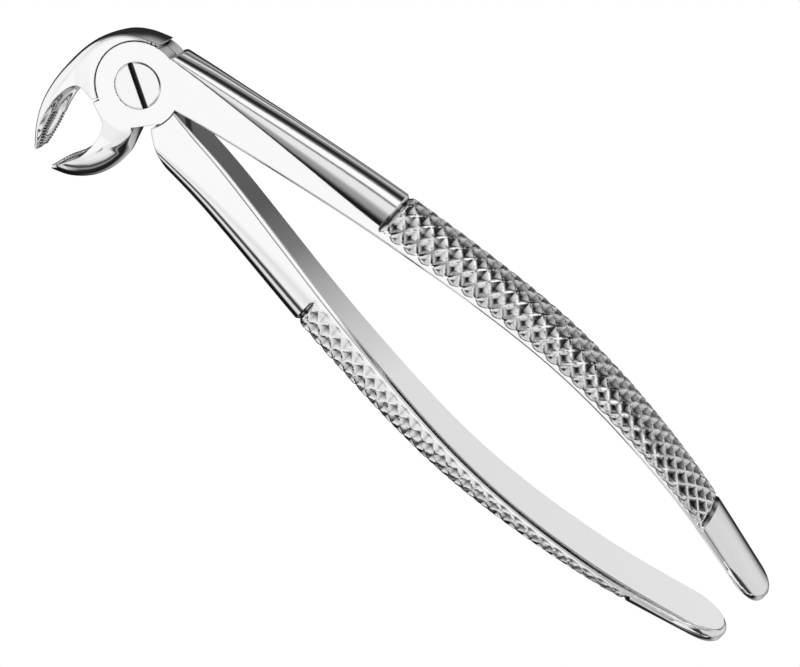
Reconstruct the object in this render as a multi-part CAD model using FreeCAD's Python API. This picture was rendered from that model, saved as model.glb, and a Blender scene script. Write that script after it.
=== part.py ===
"""Dental extraction forceps, English pattern, for lower molars.

Three pieces: two forged halves crossed at a half-lapped round joint, and the
slotted hinge screw that holds them together.

Frame: the origin is on the hinge axis at the back face of the joint, +Z runs
along the hinge axis to the screw's head, +X points to the handle ends and +Y
to the handle of the front half. Units are millimetres.
"""
import FreeCAD, Part
import math
import os

V = FreeCAD.Vector

# Joint: two half-thickness round plates, lapped.
PLATE_T = 4.3
JOINT_T = 2 * PLATE_T
MID_Z = PLATE_T
LAP_GAP = 0.04
DISC_R = 8.1
SEAT_R = 8.3

# Hinge screw.
HEAD_R = 4.35
HEAD_T = 2.2
HEAD_GAP = 0.05
JOURNAL_R = 3.0
JOURNAL_GAP = 0.04
TAIL_R = 2.5
SLOT_W = 1.0
SLOT_DEPTH = 1.3
SLOT_ANGLE = -31.0
SCREW_EDGE = 0.15

# Handles: they mirror each other about a line a little above the hinge axis.
HANDLE_START_X = 1.2
HANDLE_END_X = 148.3
END_ROUND_R = 8.1
INNER_CHAMFER = 0.45

# Each handle curve is given at the stations its shape needs: (x, value).
MIDDLE_CURVE = [(2, 0.8), (8.5, 1.0), (25, 1.7), (60, 1.7), (149, 1.7)]
GAP_CURVE = [(2, -1.1), (8.5, 0.15), (20, 2.1), (60, 9.2), (92, 12.4), (120, 10.3), (149, 3.8)]
HALF_WIDTH_CURVE = [(1, 4.3), (8.5, 4.3), (14, 4.38), (50, 5.3), (105, 7.6), (125, 8.1), (149, 8.1)]
DEPTH_CURVE = [(2, 10.2), (18, 9.7), (50, 8.7), (80, 7.4), (105, 5.8), (130, 4.4), (149, 3.4)]
SIDE_CURVE = [(2, 8.5), (18, 6.2), (32, 4.1), (46, 2.2), (58, 1.5), (149, 1.2)]
LOFT_STATIONS = [1.2, 10, 20, 32, 46, 60, 75, 90, 105, 120, 135, 149.5]

# Shoulders that stop the joint when it opens.
BACK_SHOULDER = [(-1.9, 8.0), (-1.4, 8.9)]
FRONT_SHOULDER_SLOPE = 1.3

# Beaks: stations along each beak as (outer x, y), (inner x, y), half width
# along Z and how far the inner corners are set back from the central ridge.
UPPER_BEAK = [
    ((-12.95, -5.0), (-7.6, -6.5), 4.30, 0.3),
    ((-13.25, -9.5), (-8.0, -9.6), 4.30, 1.2),
    ((-13.0, -14.0), (-7.1, -13.2), 4.25, 2.3),
    ((-11.9, -18.0), (-6.2, -16.6), 4.15, 3.0),
    ((-10.4, -21.2), (-5.4, -19.6), 4.05, 3.3),
    ((-8.3, -24.2), (-5.2, -22.9), 3.95, 1.6),
]
LOWER_BEAK = [
    ((4.9, -7.6), (-1.8, -8.6), 4.30, 0.2),
    ((6.2, -11.5), (0.1, -12.0), 4.30, 0.2),
    ((5.9, -16.3), (0.4, -15.2), 4.25, 0.5),
    ((4.6, -19.8), (-0.5, -18.0), 4.15, 0.8),
    ((1.7, -23.3), (-1.7, -21.0), 4.05, 0.8),
    ((-2.2, -25.7), (-3.1, -24.5), 3.95, 0.2),
]
BEAK_CORNER = 1.3
POINT_RISE = 1.8

# Root of the upper beak on the back half: its outer edge from the shoulder
# down to the beak, and its lower edge beside the tooth gap.
ROOT_OUTER = [(-1.4, 8.9), (-5.6, 7.4), (-8.7, 5.0), (-11.2, 1.5), (-12.6, -2.6), (-13.1, -7.0)]
ROOT_LOWER = [(-13.1, -7.0), (-7.8, -8.1), (-4.75, -8.25), (-2.8, -4.9), (0.0, 0.0)]
LOWER_ROOT = [(0.0, 0.0), (-2.6, -5.2), (-4.35, -8.4), (-0.9, -10.6), (5.6, -10.8), (5.2, -5.6)]


def hermite(points, x):
    """Smooth curve through points, evaluated at x."""
    last = len(points) - 1
    index = 0
    while index < last - 1 and x > points[index + 1][0]:
        index += 1

    def slope(i):
        low = max(i - 1, 0)
        high = min(i + 1, last)
        return (points[high][1] - points[low][1]) / (points[high][0] - points[low][0])

    x0, y0 = points[index]
    x1, y1 = points[index + 1]
    span = x1 - x0
    t = (x - x0) / span
    return ((2 * t**3 - 3 * t**2 + 1) * y0 + (t**3 - 2 * t**2 + t) * span * slope(index)
            + (3 * t**2 - 2 * t**3) * y1 + (t**3 - t**2) * span * slope(index + 1))


def polyline(points):
    """Closed wire of straight edges."""
    return Part.makePolygon(points + [points[0]])


def prism(outline, z0, z1):
    """Closed plan outline of (x, y) points raised from z0 to z1."""
    wire = polyline([V(x, y, z0) for x, y in outline])
    return Part.Face(wire).extrude(V(0, 0, z1 - z0))


def disc(radius, z0, z1):
    return Part.makeCylinder(radius, z1 - z0, V(0, 0, z0))


def handle_section(x, facing):
    """D-shaped section: flat inner face, flat sides, rounded back.

    facing is +1 for the upper handle and -1 for the lower one.
    """
    inner = hermite(MIDDLE_CURVE, x) + facing * hermite(GAP_CURVE, x)
    half = hermite(HALF_WIDTH_CURVE, x)
    side = inner + facing * hermite(SIDE_CURVE, x)
    outer = inner + facing * hermite(DEPTH_CURVE, x)
    c = INNER_CHAMFER
    bevel = inner + facing * c
    low, high = MID_Z - half, MID_Z + half
    corners = [V(x, side, low), V(x, bevel, low), V(x, inner, low + c),
               V(x, inner, high - c), V(x, bevel, high), V(x, side, high)]
    edges = [Part.makeLine(a, b) for a, b in zip(corners, corners[1:])]
    back = []
    for step in range(9):
        angle = math.pi * step / 8
        back.append(V(x, side + (outer - side) * math.sin(angle), MID_Z + half * math.cos(angle)))
    curve = Part.BSplineCurve()
    curve.interpolate(back)
    edges.append(curve.toShape())
    return Part.Wire(edges)


def handle(facing):
    """One handle, up to its round end."""
    body = Part.makeLoft([handle_section(x, facing) for x in LOFT_STATIONS], True, False)
    round_x = HANDLE_END_X - END_ROUND_R
    keep = Part.makeBox(round_x + 5, 60, 40, V(-5, -20, MID_Z - 20))
    end = Part.makeCylinder(END_ROUND_R, 60, V(round_x, -20, MID_Z), V(0, 1, 0))
    return body.common(keep.fuse(end))


def beak_section(outer, inner, half, setback):
    """Section with rounded outer corners and a central ridge inside."""
    start = V(outer[0], outer[1], MID_Z)
    across = V(inner[0] - outer[0], inner[1] - outer[1], 0)
    depth = across.Length
    across.normalize()
    c = min(BEAK_CORNER, depth / 3)
    profile = [(0, -half + c), (0, half - c), (c, half), (depth - setback, half),
               (depth, half / 4), (depth, -half / 4), (depth - setback, -half), (c, -half)]
    return polyline([start + across * n + V(0, 0, z) for n, z in profile])


def beak(stations):
    """Loft through the stations, ending in a central point."""
    body = Part.makeLoft([beak_section(*row) for row in stations], True, False)
    outer, inner = stations[-1][0], stations[-1][1]
    before = stations[-2]
    tip = V((outer[0] + inner[0]) / 2, (outer[1] + inner[1]) / 2, MID_Z)
    root = V((before[0][0] + before[1][0]) / 2, (before[0][1] + before[1][1]) / 2, MID_Z)
    along = (tip - root).normalize()
    across = V(-along.y, along.x, 0)
    reach = stations[-1][2] + 1
    for side in (-1, 1):
        corners = [tip + along * 0.3 + V(0, 0, side * 0.8),
                   tip + along * 3 + V(0, 0, side * 0.8),
                   tip + along * 3 + V(0, 0, side * reach),
                   tip - along * POINT_RISE + V(0, 0, side * reach),
                   tip - along * POINT_RISE + V(0, 0, side * 2.4)]
        wedge = Part.Face(polyline([p - across * 4 for p in corners])).extrude(across * 8)
        body = body.cut(wedge)
    return body


def smooth_outline(outer, rest, z0, z1):
    """Plan outline with one smooth edge and straight ones, raised from z0 to z1."""
    curve = Part.BSplineCurve()
    curve.interpolate([V(x, y, z0) for x, y in outer])
    edges = [curve.toShape()]
    path = [V(x, y, z0) for x, y in rest]
    path.append(V(outer[0][0], outer[0][1], z0))
    edges += [Part.makeLine(a, b) for a, b in zip(path, path[1:]) if (b - a).Length > 1e-6]
    return Part.Face(Part.Wire(edges)).extrude(V(0, 0, z1 - z0))


def front_half():
    """Front plate with the screw's seat, upper handle and lower beak."""
    lap = MID_Z + LAP_GAP / 2
    shoulder = prism([(-3, 8.0), (HANDLE_START_X - 0.2, 8.0),
                      (HANDLE_START_X + FRONT_SHOULDER_SLOPE, 13.5), (-3, 13.5)], -10, 20)
    body = handle(1).cut(shoulder)
    body = body.fuse(prism(LOWER_ROOT, 0, JOINT_T)).fuse(beak(LOWER_BEAK))
    body = body.cut(disc(SEAT_R, -1, lap))
    body = body.fuse(disc(DISC_R, lap, JOINT_T))
    body = body.cut(disc(JOURNAL_R + JOURNAL_GAP, -1, JOINT_T + 1))
    return body.cut(disc(HEAD_R + HEAD_GAP, JOINT_T - HEAD_T - HEAD_GAP, JOINT_T + 1)).removeSplitter()


def back_half():
    """Back plate with the screw's thread, lower handle and upper beak."""
    lap = MID_Z - LAP_GAP / 2
    lower = handle(-1)
    trim = prism([(-5, 8), (6.9, 8), (6.9, -4.3), (9.2, -7.0), (13.0, -9.2), (20.0, -10.2),
                  (20, -20), (-5, -20)], -10, 20)
    lower = lower.cut(trim)
    root = smooth_outline(ROOT_OUTER, ROOT_LOWER + [BACK_SHOULDER[0]], 0, JOINT_T)
    body = lower.fuse(root).fuse(beak(UPPER_BEAK))
    body = body.cut(disc(SEAT_R, lap, JOINT_T + 5))
    body = body.fuse(disc(DISC_R, 0, lap))
    return body.cut(disc(TAIL_R, -1, lap + 1)).removeSplitter()


def hinge_screw():
    """Flush slotted screw: head, journal in the front half, tail in the back."""
    lap = MID_Z
    head = disc(HEAD_R, JOINT_T - HEAD_T, JOINT_T)
    rim = [edge for edge in head.Edges
           if abs(edge.Vertexes[0].Z - JOINT_T) < 1e-6 and abs(edge.Vertexes[-1].Z - JOINT_T) < 1e-6]
    head = head.makeChamfer(SCREW_EDGE, rim)
    body = head.fuse(disc(JOURNAL_R, lap, JOINT_T - HEAD_T)).fuse(disc(TAIL_R, 0, lap))
    slot = Part.makeBox(4 * HEAD_R, SLOT_W, SLOT_DEPTH + 1,
                        V(-2 * HEAD_R, -SLOT_W / 2, JOINT_T - SLOT_DEPTH))
    slot.rotate(V(0, 0, 0), V(0, 0, 1), SLOT_ANGLE)
    return body.cut(slot).removeSplitter()


def main():
    os.makedirs("parts", exist_ok=True)
    nodes = {"front_half": front_half(), "back_half": back_half(), "hinge_screw": hinge_screw()}
    for name, shape in nodes.items():
        solids = shape.Solids
        print(name, "solids", len(solids), "valid", shape.isValid(), "volume", round(shape.Volume, 1),
              "box", shape.BoundBox)
        shape.exportStep("parts/%s.step" % name)


main()
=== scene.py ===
"""Extraction forceps: polished steel halves with knurled grips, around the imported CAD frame.

Each half is described by functions that are negative inside the steel, in the
CAD frame and in millimetres, and meshed along their exact surface. The hinge
screw is made the same way. Blender objects are in metres.
"""
import math

import bpy
import numpy as np
from mathutils import Matrix, Vector


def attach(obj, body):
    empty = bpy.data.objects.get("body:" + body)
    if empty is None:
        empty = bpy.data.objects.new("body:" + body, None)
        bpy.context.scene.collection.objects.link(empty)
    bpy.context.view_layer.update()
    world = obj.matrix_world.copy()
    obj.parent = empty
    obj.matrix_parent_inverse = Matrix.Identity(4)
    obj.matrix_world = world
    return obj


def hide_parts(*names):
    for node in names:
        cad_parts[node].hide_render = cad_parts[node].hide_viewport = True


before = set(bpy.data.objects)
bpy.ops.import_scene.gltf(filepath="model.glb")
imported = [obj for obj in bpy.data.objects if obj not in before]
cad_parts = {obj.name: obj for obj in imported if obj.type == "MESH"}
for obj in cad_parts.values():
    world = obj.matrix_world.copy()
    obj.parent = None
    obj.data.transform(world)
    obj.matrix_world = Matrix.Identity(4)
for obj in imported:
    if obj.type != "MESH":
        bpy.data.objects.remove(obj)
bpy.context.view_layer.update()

MM = 0.001

# Joint.
PLATE_T = 4.3
JOINT_T = 2 * PLATE_T
MID_Z = PLATE_T
LAP_GAP = 0.04
DISC_R = 8.1
SEAT_R = 8.3
BEAK_FACE_R = 9.3
JOINT_EDGE = 0.12
SHOULDER_EDGE = 0.3
ROOT_EDGE = 0.4

# Hinge screw.
HEAD_R = 4.35
HEAD_T = 2.2
HEAD_GAP = 0.05
HEAD_EDGE = 0.32
HEAD_SLOPE = 0.29
SEAT_EDGE = 0.06
JOURNAL_R = 3.0
JOURNAL_GAP = 0.04
TAIL_R = 2.5
TAIL_EDGE = 0.1
OVERLAP = 0.1
SLOT_W = 1.0
SLOT_DEPTH = 1.3
SLOT_EDGE = 0.08
SLOT_LIP = 0.06
SLOT_MARGIN = 0.03
SLOT_ANGLE = math.radians(-31.0)

# Handles: curves along X, as (x, value).
HANDLE_START_X = 1.2
HANDLE_END_X = 148.25
END_ROUND_R = 8.05
END_EDGE = 1.4
END_EDGE_SPAN = (-3, 4)
EDGE_CUT_CURVE = [(1, 0.05), (7, 0.1), (14, 0.3), (28, 0.4), (60, 0.45), (149, 0.5)]
EDGE_TILT_CURVE = [(1, 45), (45, 45), (75, 58), (149, 57)]
EDGE_ROUND = 0.15
SIDE_EDGE = 0.1
MIDDLE_CURVE = [(2, 0.8), (8.5, 1.0), (25, 1.7), (60, 1.7), (149, 1.7)]
GAP_CURVE = [(2, -1.1), (8.5, 0.22), (20, 2.1), (60, 9.2), (92, 12.4), (120, 10.3), (149, 3.8)]
HALF_WIDTH_CURVE = [(1, 4.3), (8.5, 4.3), (14, 4.38), (50, 5.3), (105, 7.55), (125, 8.05),
                    (149, 8.05)]
DEPTH_CURVE = [(2, 10.15), (18, 9.65), (50, 8.65), (80, 7.35), (105, 5.75), (130, 4.35),
               (149, 3.35)]
SIDE_CURVE = [(2, 8.5), (18, 6.2), (32, 4.1), (46, 2.2), (58, 1.5), (149, 1.2)]
BACK_LEAN = 0.3

# Knurl: crossed ribs around pyramid pits on the back of each grip, with a step at both ends.
# KNURL_MARGIN is where the pits begin past a step; KNURL_FADE is where they run out around the
# back, as a share of the way to the flat side.
GRIP_START_X = 50.4
GRIP_END_X = 129.4
KNURL_PITCH = 3.2
KNURL_DEPTH = 0.95
KNURL_RIB = 0.16
KNURL_R = 6.1
KNURL_MARGIN = (0.4, 1.2)
KNURL_FADE = (0.68, 0.93)
STEP_DEPTH = 0.6
STEP_WIDTH = 1.3

# Plan outlines of each half's joint block and beak: the outer edge runs from
# the joint to the tip, the inner edge from the tip back, then around the joint.
UPPER_OUTER = [(-1.4, 8.9), (-5.6, 7.15), (-8.8, 4.75), (-11.1, 1.2), (-12.35, -2.8),
               (-12.85, -7.2), (-12.9, -11.0), (-12.45, -14.7), (-11.45, -18.0), (-9.8, -21.2),
               (-8.2, -23.5), (-7.0, -25.6)]
UPPER_INNER = [(-6.0, -25.6), (-6.35, -23.0), (-6.75, -19.5), (-7.1, -17.2), (-7.6, -15.1),
               (-8.15, -12.6), (-8.35, -10.0), (-7.9, -8.3), (-4.75, -8.25)]
UPPER_JOINT = [(-2.8, -4.9), (0.0, 0.0), (-1.9, 8.0), (-1.4, 8.9)]
LOWER_OUTER = [(4.5, -6.6), (5.65, -9.2), (6.35, -12.3), (5.9, -16.3), (4.65, -19.6),
               (3.0, -21.9), (1.15, -23.6), (-0.5, -24.6), (-3.0, -25.6)]
LOWER_INNER = [(-3.6, -26.3), (-3.0, -24.2), (-1.85, -20.8), (-0.35, -17.9), (0.3, -15.8),
               (0.45, -13.2), (-0.1, -11.05), (-1.1, -9.9), (-4.35, -8.4)]
LOWER_JOINT = [(-2.6, -5.2), (0.0, 0.0)]
DISC_FLAT = [(5.16, -5.71), (6.26, -4.35)]
FRONT_SHOULDER = [(1.3, 8.0), (3.9, 13.5)]
LOWER_HANDLE_ROOT = [(6.5, -4.4), (9.3, -6.9), (13.0, -9.2)]

# Beaks: end point, direction at the end, and (distance to the end, set-back of
# the inner corners behind the central ridge). SCALLOPS are the parts of the
# half width in which the inner face falls back from the ridge.
UPPER_TIP = (-6.3, -23.9)
UPPER_AIM = (0.33, -0.944)
UPPER_SETBACK = [(0, 0.3), (2.1, 1.5), (4.6, 2.8), (7.2, 2.9), (10.4, 2.4), (12.5, 1.9),
                 (14.7, 1.2), (16.3, 0.5), (20, 0)]
LOWER_TIP = (-3.0, -25.3)
LOWER_AIM = (-0.62, -0.785)
LOWER_SETBACK = [(0, 0.5), (3, 0.9), (7, 0.8), (9.5, 0.35), (12, 0.1), (20, 0)]
SETBACK_REACH = 20
SCALLOPS = ((0.05, 0.48), (0.5, 1.1))
# Outside of each beak: the side bulges out from a crease, which the face leans
# down to: (crease inset at the joint, and at the tip, crease height at the tip,
# width of the lean). The joint block turns into the beak over BEAK_BEGINS,
# measured outward from BEAK_FACE_R.
UPPER_ROUND = (0.2, 0.95, 3.5, 3.5)
LOWER_ROUND = (0.35, 1.5, 2.6, 5.8)
BEAK_BEGINS = (-0.9, 5)
BEAK_HALF_W = 4.0
BEAK_TAPER = 0.1
LEAN_LIMIT = 1.4
CREASE_ROUND = 0.5
INNER_EDGE = 0.15
TIP_EDGE = 0.3
# How far short of the end point each beak stops, by distance from its middle.
UPPER_END = [(0, 2.2), (0.5, 2.1), (1.2, 0.9), (2.8, 0.7), (4.0, 0.9)]
LOWER_END = [(0, 0), (0.6, 0.1), (1.4, 1.0), (2.4, 1.9), (4.0, 1.9)]
# Serrations: one row on the ridge and one on each side, by share of the half width.
SERRATION_PITCH = 0.6
SERRATION_DEPTH = 0.3
SERRATION_FADE = 0.6
RIDGE_ROW_END = (0.2, 0.12)
SIDE_ROW_START = (0.3, 0.36)
SIDE_ROW_END = (0.66, 0.6)
SERRATED_LENGTH = 8.4

FAR = 99.0
RUN_ON = 40
BLOCK_END_X = 12.0

# Grid lines for meshing, as (position, spacing up to the next one), nudged off
# the shapes' own planes. Past FOLLOW_START_X the grid bends and widens with the
# handle. CENTRE_PULL keeps a vertex near the middle of its cell's crossings.
HALF_X = [(-14, 0.17), (7, 0.36), (20, 0.5), (48, 0.4), (132, 0.45), (149.2, 0)]
FRONT_Y = [(-26.5, 0.16), (-8, 0.3), (0.6, 0.15), (2.0, 0.32), (12.6, 0)]
BACK_Y = [(-25.0, 0.15), (-14, 0.2), (-6, 0.34), (-0.2, 0.15), (1.4, 0.3), (9.5, 0)]
HALF_Z = [(-0.35, 0.14), (0.9, 0.21), (7.7, 0.14), (8.95, 0)]
FOLLOW_START_X = 8.5
SCREW_XY = [(-4.6, 0.13), (4.6, 0)]
SCREW_Z = [(-0.2, 0.13), (8.8, 0)]
GRID_NUDGE = 0.0137
SLAB = 24
RUN_LENGTH = 8000
HALVINGS = 9
CENTRE_PULL = 0.03
NORMAL_INSET = 0.3

# Floor and camera.
FLOOR_Z = -4.1
FLOOR_REACH = 3.0
CARD_STARTS_X = 11.0
CARD_OVERLAP = 0.5
CARD_WIDTH = 8.0
CARD_STEPS = 20
FLAG_CORNERS = ((165, -330), (300, -120))
FLAG_Z = 500.0
CAMERA_LENS = 112.5
CAMERA_SENSOR = 36
CAMERA_CLIP = (0.01, 10)
CAMERA_PLACE = (48.27, 165.01, 435.22)
CAMERA_TURNS = (-2.35, -21.29, 43.10)


# ---------------------------------------------------------------- shape maths

def hermite(points, x):
    """Smooth curve through (x, value) points."""
    xs, ys = np.array(points, float).T
    slopes = np.empty_like(ys)
    slopes[1:-1] = (ys[2:] - ys[:-2]) / (xs[2:] - xs[:-2])
    slopes[0] = (ys[1] - ys[0]) / (xs[1] - xs[0])
    slopes[-1] = (ys[-1] - ys[-2]) / (xs[-1] - xs[-2])
    i = np.clip(np.searchsorted(xs, x, side="right") - 1, 0, len(xs) - 2)
    span = xs[i + 1] - xs[i]
    t = (x - xs[i]) / span
    return ((2 * t**3 - 3 * t**2 + 1) * ys[i] + (t**3 - 2 * t**2 + t) * span * slopes[i]
            + (3 * t**2 - 2 * t**3) * ys[i + 1] + (t**3 - t**2) * span * slopes[i + 1])


def smooth_step(low, high, x):
    t = np.clip((x - low) / (high - low), 0, 1)
    return t * t * (3 - 2 * t)


def both(a, b, radius=0.0):
    """Inside both shapes, with the shared edge rounded."""
    corner = np.hypot(np.maximum(a + radius, 0), np.maximum(b + radius, 0))
    return np.minimum(-radius, np.maximum(a, b)) + corner


def smooth_path(points, steps=8):
    """Dense points along a smooth curve through the given ones."""
    knots = np.arange(len(points))
    at = np.linspace(0, len(points) - 1, steps * (len(points) - 1) + 1)
    axes = np.array(points, float).T
    return np.column_stack([hermite(np.column_stack([knots, axis]), at) for axis in axes])


def path_side(path, within, x, y):
    """Distance to a path run on straight past both ends: negative on the side of the point within."""
    path = np.asarray(path, float)
    first, last = path[0] - path[1], path[-1] - path[-2]
    before = path[0] + RUN_ON * first / np.hypot(*first)
    after = path[-1] + RUN_ON * last / np.hypot(*last)
    path = np.vstack([before, path, after])
    distance = np.full(np.broadcast(x, y).shape, np.inf)
    inside = np.zeros(distance.shape, bool)
    for (ax, ay), (bx, by) in zip(path, path[1:]):
        dx, dy = bx - ax, by - ay
        t = np.clip(((x - ax) * dx + (y - ay) * dy) / (dx * dx + dy * dy), 0, 1)
        distance = np.minimum(distance, np.hypot(x - ax - t * dx, y - ay - t * dy))
    ring = np.vstack([path, within])
    for (ax, ay), (bx, by) in zip(ring, np.roll(ring, -1, axis=0)):
        if ay != by:
            inside ^= ((ay > y) != (by > y)) & (x < (bx - ax) * (y - ay) / (by - ay) + ax)
    return np.where(inside, -distance, distance)


def left_of(x, y, a, b):
    """Distance to the left of the line from a to b."""
    dx, dy = b[0] - a[0], b[1] - a[1]
    return (dx * (y - a[1]) - dy * (x - a[0])) / math.hypot(dx, dy)


def cylinder(x, y, z, radius, low, high, edge=0.0):
    return both(np.hypot(x, y) - radius, np.maximum(low - z, z - high), edge)


# ------------------------------------------------------------------ the steel

def knurl(x, side, depth):
    """Depth cut into the back of a grip. side and depth place a point across the back."""
    around = KNURL_R * np.arctan2(side, np.maximum(depth, 1e-6))
    cut = 1.0
    for turn in (-1, 1):
        across = (x - GRIP_START_X + turn * around) / KNURL_PITCH
        from_rib = 1 - 2 * np.abs(across - np.floor(across) - 0.5)
        cut = np.minimum(cut, np.clip((from_rib - KNURL_RIB) / (1 - KNURL_RIB), 0, 1))
    near, far = KNURL_MARGIN
    inside = (smooth_step(GRIP_START_X + near, GRIP_START_X + far, x)
              * (1 - smooth_step(GRIP_END_X - far, GRIP_END_X - near, x)))
    low, high = [share * math.pi / 2 * KNURL_R for share in KNURL_FADE]
    runs_out = 1 - smooth_step(low, high, np.abs(around))
    step = 0.0
    for place in (GRIP_START_X, GRIP_END_X):
        step = np.maximum(step, 1 - np.abs(x - place) / (STEP_WIDTH / 2))
    return KNURL_DEPTH * cut * inside * runs_out + STEP_DEPTH * np.maximum(step, 0) * runs_out


def handle(x, y, z, facing):
    """D-shaped handle: flat inner face, flat sides, rounded back."""
    if np.max(x) < HANDLE_START_X:
        return FAR
    half = hermite(HALF_WIDTH_CURVE, x)
    side = hermite(SIDE_CURVE, x)
    behind = facing * (y - hermite(MIDDLE_CURVE, x)) - hermite(GAP_CURVE, x)
    w = np.abs(z - MID_Z)
    lean = BACK_LEAN * (hermite(DEPTH_CURVE, x) - side)
    long = hermite(DEPTH_CURVE, x) - side + lean
    wide = half / np.sqrt(1 - (lean / long) ** 2)
    into = np.maximum(behind - side + lean, 0)
    slope = np.hypot(into / long**2, w / wide**2) + 1e-6
    back = ((into / long) ** 2 + (w / wide) ** 2 - 1) / (2 * slope)
    back = back + knurl(x, (z - MID_Z) / wide, into / long)
    tilt = np.radians(hermite(EDGE_TILT_CURVE, x))
    edge = (w - half) * np.cos(tilt) - behind * np.sin(tilt) + hermite(EDGE_CUT_CURVE, x)
    body = both(both(both(w - half, back, SIDE_EDGE), edge, EDGE_ROUND), -behind, EDGE_ROUND)
    body = both(body, HANDLE_START_X - x)
    round_x = HANDLE_END_X - END_ROUND_R
    end = np.hypot(np.maximum(x - round_x, 0), w) - END_ROUND_R
    before, after = END_EDGE_SPAN
    return both(body, end, END_EDGE * smooth_step(round_x + before, round_x + after, x))


def beak(x, y, z, outer, inner, within, tip, aim, end, setback, rounding):
    """Joint block and beak: domed outside, ridged and serrated inside."""
    if np.min(x) > BLOCK_END_X:
        return FAR
    outer_side = path_side(outer, within, x, y)
    inner_side = path_side(inner, (-within[0], within[1]), x, y)
    to_end = -((x - tip[0]) * aim[0] + (y - tip[1]) * aim[1])
    w = np.abs(z - MID_Z)
    q = w / BEAK_HALF_W
    radius = np.hypot(x, y)
    beyond = smooth_step(BEAK_FACE_R + BEAK_BEGINS[0], BEAK_FACE_R + BEAK_BEGINS[1], radius)

    scallops = (smooth_step(*SCALLOPS[0], q) + smooth_step(*SCALLOPS[1], q)) / 2
    back = scallops * hermite(setback, np.clip(to_end, 0, SETBACK_REACH)) * beyond
    tooth = 0.5 + 0.5 * np.cos(2 * math.pi * to_end / SERRATION_PITCH)
    side_row = smooth_step(*SIDE_ROW_START, q) * smooth_step(*SIDE_ROW_END, q)
    rows = smooth_step(*RIDGE_ROW_END, q) + side_row
    serrated = smooth_step(SERRATED_LENGTH + SERRATION_FADE, SERRATED_LENGTH, to_end)
    back = back + SERRATION_DEPTH * tooth * rows * serrated

    joint_inset, tip_inset, tip_crease, reach = rounding
    inset = joint_inset + (tip_inset - joint_inset) * beyond
    half = np.maximum(PLATE_T - BEAK_TAPER * np.maximum(radius - BEAK_FACE_R, 0), BEAK_HALF_W)
    crease = PLATE_T + (tip_crease - PLATE_T) * beyond
    lean = half - crease
    across = np.clip((reach + outer_side) / (reach - inset), 0, LEAN_LIMIT)
    side = (outer_side + inset * (w / crease) ** 2) / np.hypot(1, 2 * inset * w / crease**2)
    face = (w - half + lean * across**3) / np.hypot(1, 3 * lean * across**2 / (reach - inset))
    body = both(both(side, face, CREASE_ROUND), inner_side + back, INNER_EDGE)
    return both(body, hermite(end, np.minimum(w, end[-1][0])) - to_end, TIP_EDGE)


def front_half(x, y, z):
    """Front plate with the screw's seat, upper handle and lower beak."""
    lap = MID_Z + LAP_GAP / 2
    shoulder = both(FRONT_SHOULDER[0][1] - y, -left_of(x, y, *FRONT_SHOULDER))
    body = both(handle(x, y, z, 1), -shoulder, SHOULDER_EDGE)
    outer = [(0.0, 0.0), LOWER_OUTER[0], *smooth_path(LOWER_OUTER)[1:]]
    inner = [*smooth_path(LOWER_INNER), *LOWER_JOINT]
    body = np.minimum(body, beak(x, y, z, outer, inner, (-60, 0),
                                 LOWER_TIP, LOWER_AIM, LOWER_END, LOWER_SETBACK, LOWER_ROUND))
    body = both(body, -cylinder(x, y, z, SEAT_R, -FAR, lap), JOINT_EDGE)
    disc = cylinder(x, y, z, DISC_R, lap, JOINT_T, JOINT_EDGE)
    disc = both(disc, -left_of(x, y, *DISC_FLAT), JOINT_EDGE)
    body = np.minimum(body, disc)
    body = both(body, -cylinder(x, y, z, JOURNAL_R + JOURNAL_GAP, -FAR, FAR))
    seat = cylinder(x, y, z, HEAD_R + HEAD_GAP, JOINT_T - HEAD_T - HEAD_GAP, FAR)
    return both(body, -seat, SEAT_EDGE)


def back_half(x, y, z):
    """Back plate, lower handle and upper beak."""
    lap = MID_Z - LAP_GAP / 2
    root = LOWER_HANDLE_ROOT[0][0] - x
    for a, b in zip(LOWER_HANDLE_ROOT, LOWER_HANDLE_ROOT[1:]):
        root = both(root, -left_of(x, y, a, b), ROOT_EDGE)
    body = both(handle(x, y, z, -1), root, ROOT_EDGE)
    outer = smooth_path(UPPER_OUTER)
    inner = [*smooth_path(UPPER_INNER), *UPPER_JOINT]
    body = np.minimum(body, beak(x, y, z, outer, inner, (60, 0),
                                 UPPER_TIP, UPPER_AIM, UPPER_END, UPPER_SETBACK, UPPER_ROUND))
    body = both(body, -cylinder(x, y, z, SEAT_R, lap, FAR), JOINT_EDGE)
    body = np.minimum(body, cylinder(x, y, z, DISC_R, 0, lap, JOINT_EDGE))
    return both(body, -cylinder(x, y, z, TAIL_R, -FAR, FAR))


def hinge_screw(x, y, z):
    """Slotted flush head, journal and tail."""
    body = cylinder(x, y, z, HEAD_R, JOINT_T - HEAD_T, JOINT_T)
    body = both(body, z - JOINT_T + HEAD_SLOPE * (np.hypot(x, y) - HEAD_R + HEAD_EDGE))
    body = np.minimum(body, cylinder(x, y, z, JOURNAL_R, MID_Z, JOINT_T - HEAD_T + OVERLAP))
    body = np.minimum(body, cylinder(x, y, z, TAIL_R, 0, MID_Z + OVERLAP, TAIL_EDGE))
    across = -x * math.sin(SLOT_ANGLE) + y * math.cos(SLOT_ANGLE)
    slot = both(np.abs(across) - SLOT_W / 2, JOINT_T - SLOT_DEPTH - z)
    return both(body, -slot, SLOT_EDGE)


# -------------------------------------------------------------------- meshing

def graded(stops):
    """Grid lines from (position, spacing up to the next stop) pairs."""
    lines = []
    for (start, spacing), (end, _) in zip(stops, stops[1:]):
        count = max(1, round((end - start) / spacing))
        lines.append(start + (end - start) * np.arange(count) / count)
    return np.concatenate(lines + [[stops[-1][0]]]) + GRID_NUDGE


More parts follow.
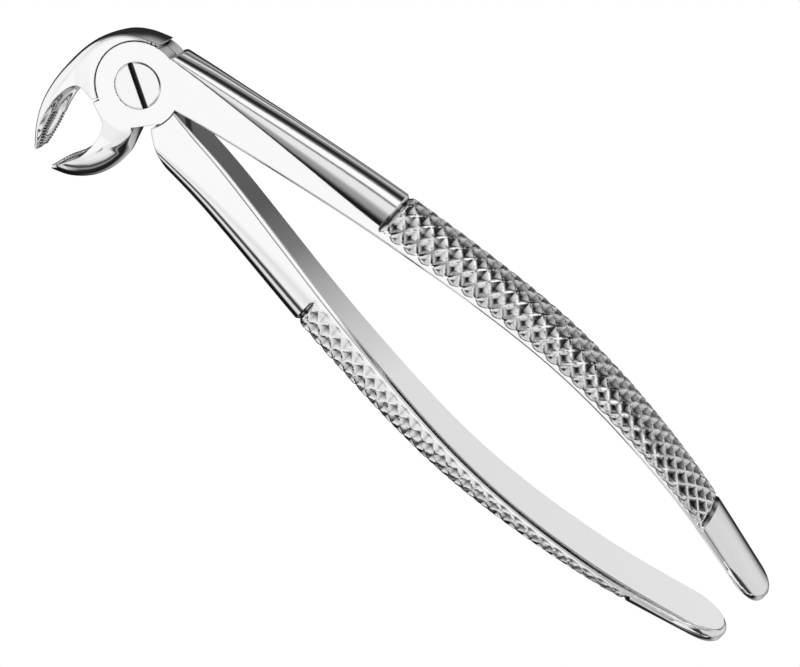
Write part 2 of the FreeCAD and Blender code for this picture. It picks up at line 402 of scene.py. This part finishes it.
def sample(shape, axes):
    """Shape at every grid point."""
    xs, ys, zs = axes
    values = np.empty((len(xs), len(ys), len(zs)))
    for start in range(0, len(xs), SLAB):
        part = xs[start:start + SLAB]
        values[start:start + SLAB] = shape(part[:, None, None], ys[None, :, None], zs[None, None, :])
    return values


def evaluate(shape, points):
    """Shape at many points, in short runs, because a shape skips its parts far from a run."""
    runs = np.array_split(points, len(points) // RUN_LENGTH + 1)
    return np.concatenate([shape(*run.T) for run in runs])


def gradient(shape, points, step=2e-3):
    """Outward unit normals of the surface that passes near the points."""
    columns = []
    for axis in range(3):
        ahead, behind = points.copy(), points.copy()
        ahead[:, axis] += step
        behind[:, axis] -= step
        columns.append(evaluate(shape, ahead) - evaluate(shape, behind))
    normals = np.column_stack(columns)
    return normals / (np.linalg.norm(normals, axis=1, keepdims=True) + 1e-12)


def crossings(shape, axes, values, axis):
    """Grid edges along one axis that the surface crosses, and where."""
    inside = values < 0
    low = np.take(inside, range(values.shape[axis] - 1), axis)
    high = np.take(inside, range(1, values.shape[axis]), axis)
    cells = np.argwhere(low != high)
    ends = cells.copy()
    ends[:, axis] += 1
    a = np.column_stack([axes[k][cells[:, k]] for k in range(3)])
    b = np.column_stack([axes[k][ends[:, k]] for k in range(3)])
    a_in = inside[tuple(cells.T)]
    for _ in range(HALVINGS):
        middle = (a + b) / 2
        same = (evaluate(shape, middle) < 0) == a_in
        a = np.where(same[:, None], middle, a)
        b = np.where(same[:, None], b, middle)
    return cells, (a + b) / 2, a_in


def surface(shape, axes):
    """Dual contouring: one vertex per grid cell, placed where the surface's planes meet."""
    values = sample(shape, axes)
    size = np.array(values.shape)
    owners, places, normals, quads = [], [], [], []
    for axis in range(3):
        cells, points, a_in = crossings(shape, axes, values, axis)
        normal = gradient(shape, points)
        u, v = [k for k in range(3) if k != axis]
        ring = []
        for du, dv in ((0, 0), (1, 0), (1, 1), (0, 1)):
            around = cells.copy()
            around[:, u] -= du
            around[:, v] -= dv
            ring.append(np.ravel_multi_index(around.T, size))
            owners.append(ring[-1])
            places.append(points)
            normals.append(normal)
        ring = np.column_stack(ring)
        flip = a_in == (axis == 1)
        ring[flip] = ring[flip][:, ::-1]
        quads.append(ring)
    owners, places, normals = map(np.concatenate, (owners, places, normals))
    cells, index = np.unique(owners, return_inverse=True)

    def total(weight):
        return np.bincount(index, weight, len(cells))

    count = total(None)
    centre = np.column_stack([total(places[:, k]) for k in range(3)]) / count[:, None]
    offset = np.einsum("ij,ij->i", normals, places - centre[index])
    matrix = np.empty((len(cells), 3, 3))
    target = np.empty((len(cells), 3))
    for i in range(3):
        target[:, i] = total(normals[:, i] * offset)
        for j in range(3):
            matrix[:, i, j] = total(normals[:, i] * normals[:, j]) + (CENTRE_PULL if i == j else 0)
    verts = centre + np.linalg.solve(matrix, target[:, :, None])[:, :, 0]
    corner = np.column_stack(np.unravel_index(cells, size))
    for k in range(3):
        verts[:, k] = np.clip(verts[:, k], axes[k][corner[:, k]], axes[k][corner[:, k] + 1])
    return verts, np.searchsorted(cells, np.concatenate(quads))


def paint_slot_shadow(piece, material):
    """Paint shadow into the screw's slot: its inside gets its own darker material."""
    piece.data.materials.append(material)
    for face in piece.data.polygons:
        x, y, z = face.center / MM
        across = abs(-x * math.sin(SLOT_ANGLE) + y * math.cos(SLOT_ANGLE))
        within_head = z < JOINT_T - SLOT_LIP and math.hypot(x, y) < HEAD_R - SLOT_MARGIN
        if within_head and across < SLOT_W / 2 + SLOT_MARGIN:
            face.material_index = 1


def follow(facing, x, y, z):
    """Point of a grid that runs with a handle's inner face and width past the joint."""
    along = np.maximum(x, FOLLOW_START_X)
    ends = np.array([FOLLOW_START_X])
    inner, start = [hermite(MIDDLE_CURVE, at) + facing * hermite(GAP_CURVE, at) for at in (along, ends)]
    return x, y + inner - start, MID_Z + (z - MID_Z) * hermite(HALF_WIDTH_CURVE, along) / PLATE_T


def follow_upper(x, y, z):
    """Grid of the half with the upper handle."""
    return follow(1, x, y, z)


def follow_lower(x, y, z):
    """Grid of the half with the lower handle."""
    return follow(-1, x, y, z)


def stay(x, y, z):
    """Straight grid."""
    return x, y, z


def make_piece(name, shape, place, axes, material):
    """Mesh of a shape with its exact normals, in metres. place bends the grid to the shape."""
    verts, quads = surface(lambda x, y, z: shape(*place(x, y, z)), axes)
    verts = np.column_stack(place(*verts.T))
    mesh = bpy.data.meshes.new(name)
    mesh.vertices.add(len(verts))
    mesh.vertices.foreach_set("co", (verts * MM).ravel())
    mesh.loops.add(quads.size)
    mesh.loops.foreach_set("vertex_index", quads.ravel())
    mesh.polygons.add(len(quads))
    mesh.polygons.foreach_set("loop_start", np.arange(0, quads.size, 4))
    mesh.polygons.foreach_set("use_smooth", np.ones(len(quads), bool))
    mesh.update()
    mesh.validate()
    corners = verts[quads]
    near = corners + NORMAL_INSET * (corners.mean(axis=1, keepdims=True) - corners)
    mesh.normals_split_custom_set(gradient(shape, near.reshape(-1, 3)))
    mesh.materials.append(material)
    piece = bpy.data.objects.new(name, mesh)
    bpy.context.scene.collection.objects.link(piece)
    return piece


# ------------------------------------------------------------------ materials

# Socket numbers of the Mix node's colours.
COLOUR_A = 6
COLOUR_B = 7
COLOUR_RESULT = 2

# Steel: cloudy roughness, hairline scratches along the handles, painted shade that makes
# grooves less bright than the rest, and painted shade that darkens recesses within their reach.
CLOUD_SCALE = 90
CLOUD_DETAIL = 5
CLOUD_SPAN = (0.3, 0.7)
ROUGH_SPREAD = (0.7, 1.5)
HAIR_STRETCH = (60, 900, 900)
HAIR_SCALE = 8
HAIR_DETAIL = 8
HAIR_HEIGHT = 0.01
GROOVE_SPAN = (0.38, 0.46)
GROOVE_SHADE = 0.62
RECESS_REACH = 1.5
RECESS_SAMPLES = 8
RECESS_SPAN = (0.6, 0.97)


def steel(name, tint, rough, scratch, painted_recess_shade=0.1):
    """Polished stainless steel with painted shade in grooves and recesses. The last argument is how
    bright that painted recess shade is, as a share of the tint.
    """
    material = bpy.data.materials.new(name)
    material.use_nodes = True
    tree = material.node_tree
    nodes = tree.nodes
    shader = nodes["Principled BSDF"]
    shader.inputs["Metallic"].default_value = 1.0
    place = nodes.new("ShaderNodeTexCoord")

    cloud = nodes.new("ShaderNodeTexNoise")
    cloud.inputs["Scale"].default_value = CLOUD_SCALE
    cloud.inputs["Detail"].default_value = CLOUD_DETAIL
    tree.links.new(place.outputs["Object"], cloud.inputs["Vector"])

    stretch = nodes.new("ShaderNodeMapping")
    stretch.inputs["Scale"].default_value = HAIR_STRETCH
    hair = nodes.new("ShaderNodeTexNoise")
    hair.inputs["Scale"].default_value = HAIR_SCALE
    hair.inputs["Detail"].default_value = HAIR_DETAIL
    tree.links.new(place.outputs["Object"], stretch.inputs["Vector"])
    tree.links.new(stretch.outputs["Vector"], hair.inputs["Vector"])

    geometry = nodes.new("ShaderNodeNewGeometry")
    # Painted shade: concave places, found by pointiness, get a darker base colour.
    painted_groove_shade = nodes.new("ShaderNodeValToRGB")
    low, high = painted_groove_shade.color_ramp.elements
    low.position, high.position = GROOVE_SPAN
    low.color = (*[GROOVE_SHADE * c for c in tint], 1)
    high.color = (*tint, 1)
    tree.links.new(geometry.outputs["Pointiness"], painted_groove_shade.inputs["Fac"])

    # Painted shade: ambient occlusion darkens the base colour in recesses, down to the last argument's
    # share of the tint.
    recess = nodes.new("ShaderNodeAmbientOcclusion")
    recess.samples = RECESS_SAMPLES
    recess.only_local = True
    recess.inputs["Distance"].default_value = RECESS_REACH * MM
    open_share = nodes.new("ShaderNodeMapRange")
    open_share.inputs["From Min"].default_value = RECESS_SPAN[0]
    open_share.inputs["From Max"].default_value = RECESS_SPAN[1]
    tree.links.new(recess.outputs["AO"], open_share.inputs["Value"])
    colour = nodes.new("ShaderNodeMix")
    colour.data_type = "RGBA"
    colour.inputs[COLOUR_A].default_value = (*[painted_recess_shade * c for c in tint], 1)
    tree.links.new(open_share.outputs["Result"], colour.inputs["Factor"])
    tree.links.new(painted_groove_shade.outputs["Color"], colour.inputs[COLOUR_B])
    tree.links.new(colour.outputs[COLOUR_RESULT], shader.inputs["Base Color"])

    spread = nodes.new("ShaderNodeMapRange")
    spread.inputs["From Min"].default_value = CLOUD_SPAN[0]
    spread.inputs["From Max"].default_value = CLOUD_SPAN[1]
    spread.inputs["To Min"].default_value = rough * ROUGH_SPREAD[0]
    spread.inputs["To Max"].default_value = rough * ROUGH_SPREAD[1]
    tree.links.new(cloud.outputs["Fac"], spread.inputs["Value"])
    tree.links.new(spread.outputs["Result"], shader.inputs["Roughness"])

    bump = nodes.new("ShaderNodeBump")
    bump.inputs["Strength"].default_value = scratch
    bump.inputs["Distance"].default_value = HAIR_HEIGHT * MM
    tree.links.new(hair.outputs["Fac"], bump.inputs["Height"])
    tree.links.new(bump.outputs["Normal"], shader.inputs["Normal"])
    return material


# --------------------------------------------------------------------- studio

# What the steel reflects, by direction: (degrees from overhead toward +Y, brightness 0-255)
# to the left, along the middle and to the right of the instrument, and where
# along X the middle turns into the other two.
LEFT_STRIPS = [(-180, 120), (-166, 210), (-150, 240), (-100, 248), (-34, 248), (-24, 225),
               (-8, 205), (10, 230), (40, 222), (70, 150), (95, 185), (115, 100),
               (135, 100), (155, 150), (180, 120)]
MIDDLE_STRIPS = [(-180, 70), (-148, 75), (-128, 25), (-102, 30), (-94, 225), (-85, 225),
                 (-80, 58), (-73, 58), (-66, 248), (-58, 240), (-47, 225), (-24, 252),
                 (-4, 250), (2, 25), (9, 35), (15, 140), (24, 160), (32, 230),
                 (48, 235), (54, 90), (60, 255), (76, 255), (84, 120), (92, 42),
                 (108, 48), (114, 130), (124, 140), (132, 230), (144, 60), (158, 180),
                 (170, 70), (180, 70)]
RIGHT_STRIPS = [(-180, 150), (-150, 195), (-135, 150), (-120, 35), (-96, 40), (-86, 150),
                (-80, 60), (-72, 90), (-62, 215), (-45, 240), (-8, 235), (0, 135),
                (12, 50), (44, 70), (54, 190), (70, 215), (105, 213), (160, 220),
                (172, 205), (180, 150)]
MIDDLE_TO_RIGHT = (0.22, 0.45)
MIDDLE_TO_LEFT = (-0.32, -0.6)
# Dark patch below, away from the camera, that outlines the rounded edges:
# direction, cosines of the angles it fades in over, and brightness.
DARK_BELOW = (-0.12, -0.34, -0.93)
DARK_BELOW_SPAN = (0.77, 0.88)
DARK_BELOW_SHADE = 45
WHITE = 255
# Brightness of the card under the gap between the handles, by distance from the joint.
CARD_SHADES = [(10, 95), (32, 92), (42, 122), (50, 165), (58, 192), (72, 222), (150, 229)]
# Brightness of the card overhead that shades the flat sides toward the grips' ends.
FLAG_SHADES = [(165, 250), (205, 205), (240, 170), (290, 110)]


def display_grey(shade):
    """Light, as a colour, that shows as a display brightness."""
    light = (shade / WHITE) ** 2.2
    return light, light, light, 1


def ramp(tree, value, stops):
    """Grey light looked up from (value, display brightness) stops."""
    low, high = stops[0][0], stops[-1][0]
    scale = tree.nodes.new("ShaderNodeMapRange")
    scale.inputs["From Min"].default_value = low
    scale.inputs["From Max"].default_value = high
    tree.links.new(value, scale.inputs["Value"])
    colours = tree.nodes.new("ShaderNodeValToRGB")
    elements = colours.color_ramp.elements
    while len(elements) < len(stops):
        elements.new(0.5)
    for element, (at, shade) in zip(elements, stops):
        element.position = (at - low) / (high - low)
        element.color = display_grey(shade)
    tree.links.new(scale.outputs["Result"], colours.inputs["Fac"])
    return colours.outputs["Color"]


def blend_to(tree, first, second, value, span):
    """First colour turning into the second as value crosses the span."""
    share = tree.nodes.new("ShaderNodeMapRange")
    share.interpolation_type = "SMOOTHSTEP"
    share.inputs["From Min"].default_value = span[0]
    share.inputs["From Max"].default_value = span[1]
    tree.links.new(value, share.inputs["Value"])
    mix = tree.nodes.new("ShaderNodeMix")
    mix.data_type = "RGBA"
    tree.links.new(share.outputs["Result"], mix.inputs["Factor"])
    tree.links.new(first, mix.inputs[COLOUR_A])
    tree.links.new(second, mix.inputs[COLOUR_B])
    return mix.outputs[COLOUR_RESULT]


def grey(tree, shade):
    """Even grey light of a display brightness."""
    node = tree.nodes.new("ShaderNodeRGB")
    node.outputs["Color"].default_value = display_grey(shade)
    return node.outputs["Color"]


def white(tree):
    """Even white light."""
    return grey(tree, WHITE)


def studio():
    """White room to the camera; strip lights and dark gaps to the polished steel."""
    world = bpy.data.worlds.new("studio")
    bpy.context.scene.world = world
    world.use_nodes = True
    tree = world.node_tree
    nodes = tree.nodes
    place = nodes.new("ShaderNodeTexCoord")
    axes = nodes.new("ShaderNodeSeparateXYZ")
    tree.links.new(place.outputs["Generated"], axes.inputs["Vector"])
    around = nodes.new("ShaderNodeMath")
    around.operation = "ARCTAN2"
    tree.links.new(axes.outputs["Y"], around.inputs[0])
    tree.links.new(axes.outputs["Z"], around.inputs[1])
    degrees = nodes.new("ShaderNodeMath")
    degrees.operation = "DEGREES"
    tree.links.new(around.outputs["Value"], degrees.inputs[0])
    left, middle, right = [ramp(tree, degrees.outputs["Value"], strips)
                           for strips in (LEFT_STRIPS, MIDDLE_STRIPS, RIGHT_STRIPS)]
    seen = blend_to(tree, middle, right, axes.outputs["X"], MIDDLE_TO_RIGHT)
    seen = blend_to(tree, seen, left, axes.outputs["X"], MIDDLE_TO_LEFT)
    below = nodes.new("ShaderNodeVectorMath")
    below.operation = "DOT_PRODUCT"
    below.inputs[1].default_value = DARK_BELOW
    tree.links.new(place.outputs["Generated"], below.inputs[0])
    dark = grey(tree, DARK_BELOW_SHADE)
    seen = blend_to(tree, seen, dark, below.outputs["Value"], DARK_BELOW_SPAN)
    direct = nodes.new("ShaderNodeLightPath")
    seen = blend_to(tree, seen, white(tree), direct.outputs["Is Camera Ray"], (0, 1))
    tree.links.new(seen, nodes["Background"].inputs["Color"])


def glowing_card(name, outline, z, colour):
    """Level glowing sheet between two rows of points. colour makes the socket for its colour."""
    mesh = bpy.data.meshes.new(name)
    near, far = outline
    verts = [(x * MM, y * MM, z * MM) for x, y in [*near, *far]]
    count = len(near)
    mesh.from_pydata(verts, [], [(i, i + 1, count + i + 1, count + i) for i in range(count - 1)])
    material = bpy.data.materials.new(name)
    material.use_nodes = True
    tree = material.node_tree
    shader = tree.nodes["Principled BSDF"]
    shader.inputs["Base Color"].default_value = (0, 0, 0, 1)
    shader.inputs["Specular IOR Level"].default_value = 0
    shader.inputs["Emission Strength"].default_value = 1
    tree.links.new(colour(tree), shader.inputs["Emission Color"])
    mesh.materials.append(material)
    card = bpy.data.objects.new(name, mesh)
    bpy.context.scene.collection.objects.link(card)
    return card


def shaded_along(shades):
    """Maker of a grey that changes along X, from (x, brightness) stops."""
    def colour(tree):
        place = tree.nodes.new("ShaderNodeTexCoord")
        axes = tree.nodes.new("ShaderNodeSeparateXYZ")
        tree.links.new(place.outputs["Object"], axes.inputs["Vector"])
        return ramp(tree, axes.outputs["X"], [(x * MM, shade) for x, shade in shades])
    return colour


def floor():
    """Plain pale floor for the camera, and two cards that only reflections show."""
    reach = FLOOR_REACH / MM
    near, far = [(-reach, -reach), (reach, -reach)], [(-reach, reach), (reach, reach)]
    seen = glowing_card("floor", [near, far], FLOOR_Z, white)
    seen.visible_glossy = False

    xs = np.linspace(CARD_STARTS_X, HANDLE_END_X, CARD_STEPS)
    face = hermite(MIDDLE_CURVE, xs) - hermite(GAP_CURVE, xs)
    near, far = list(zip(xs, face - CARD_OVERLAP)), list(zip(xs, face + CARD_WIDTH))
    card = glowing_card("card", [near, far], FLOOR_Z, shaded_along(CARD_SHADES))
    card.visible_camera = False

    (low_x, low_y), (high_x, high_y) = FLAG_CORNERS
    near, far = [(low_x, low_y), (high_x, low_y)], [(low_x, high_y), (high_x, high_y)]
    flag = glowing_card("flag", [near, far], FLAG_Z, shaded_along(FLAG_SHADES))
    flag.visible_camera = False


def camera():
    """Camera high above the instrument, a little toward +Y."""
    data = bpy.data.cameras.new("camera")
    data.lens = CAMERA_LENS
    data.sensor_width = CAMERA_SENSOR
    data.clip_start, data.clip_end = CAMERA_CLIP
    eye = bpy.data.objects.new("camera", data)
    roll, pitch, yaw = CAMERA_TURNS
    turn = Matrix.Rotation(math.radians(roll), 4, "Y") @ Matrix.Rotation(math.radians(pitch), 4, "X")
    turn = turn @ Matrix.Rotation(math.radians(yaw), 4, "Z")
    eye.matrix_world = Matrix.Translation(Vector(CAMERA_PLACE) * MM) @ turn
    bpy.context.scene.collection.objects.link(eye)
    bpy.context.scene.camera = eye


# ------------------------------------------------------------------- assembly

polished = steel("polished_steel", (0.97, 0.97, 0.975), 0.055, 0.25)
turned = steel("screw_steel", (0.95, 0.95, 0.96), 0.11, 0.3)
pieces = [
    ("front_half", front_half, follow_upper, (HALF_X, FRONT_Y, HALF_Z),
     polished, "polished_steel", "front"),
    ("back_half", back_half, follow_lower, (HALF_X, BACK_Y, HALF_Z),
     polished, "polished_steel", "back"),
    ("hinge_screw", hinge_screw, stay, (SCREW_XY, SCREW_XY, SCREW_Z),
     turned, "screw_steel", "back"),
]
for node, shape, place, spacings, material, slot, body in pieces:
    piece = make_piece(node + "_steel", shape, place, [graded(stops) for stops in spacings], material)
    if node == "hinge_screw":
        # Painted shadow: the inside of the slot gets dark, dull steel.
        paint_slot_shadow(piece, steel("slot_painted_shadow", (0.35, 0.35, 0.36), 0.3, 0.3, 0.5))
    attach(piece, body)
    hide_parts(node)

studio()
floor()
camera()
bpy.context.scene.view_settings.view_transform = "Standard"
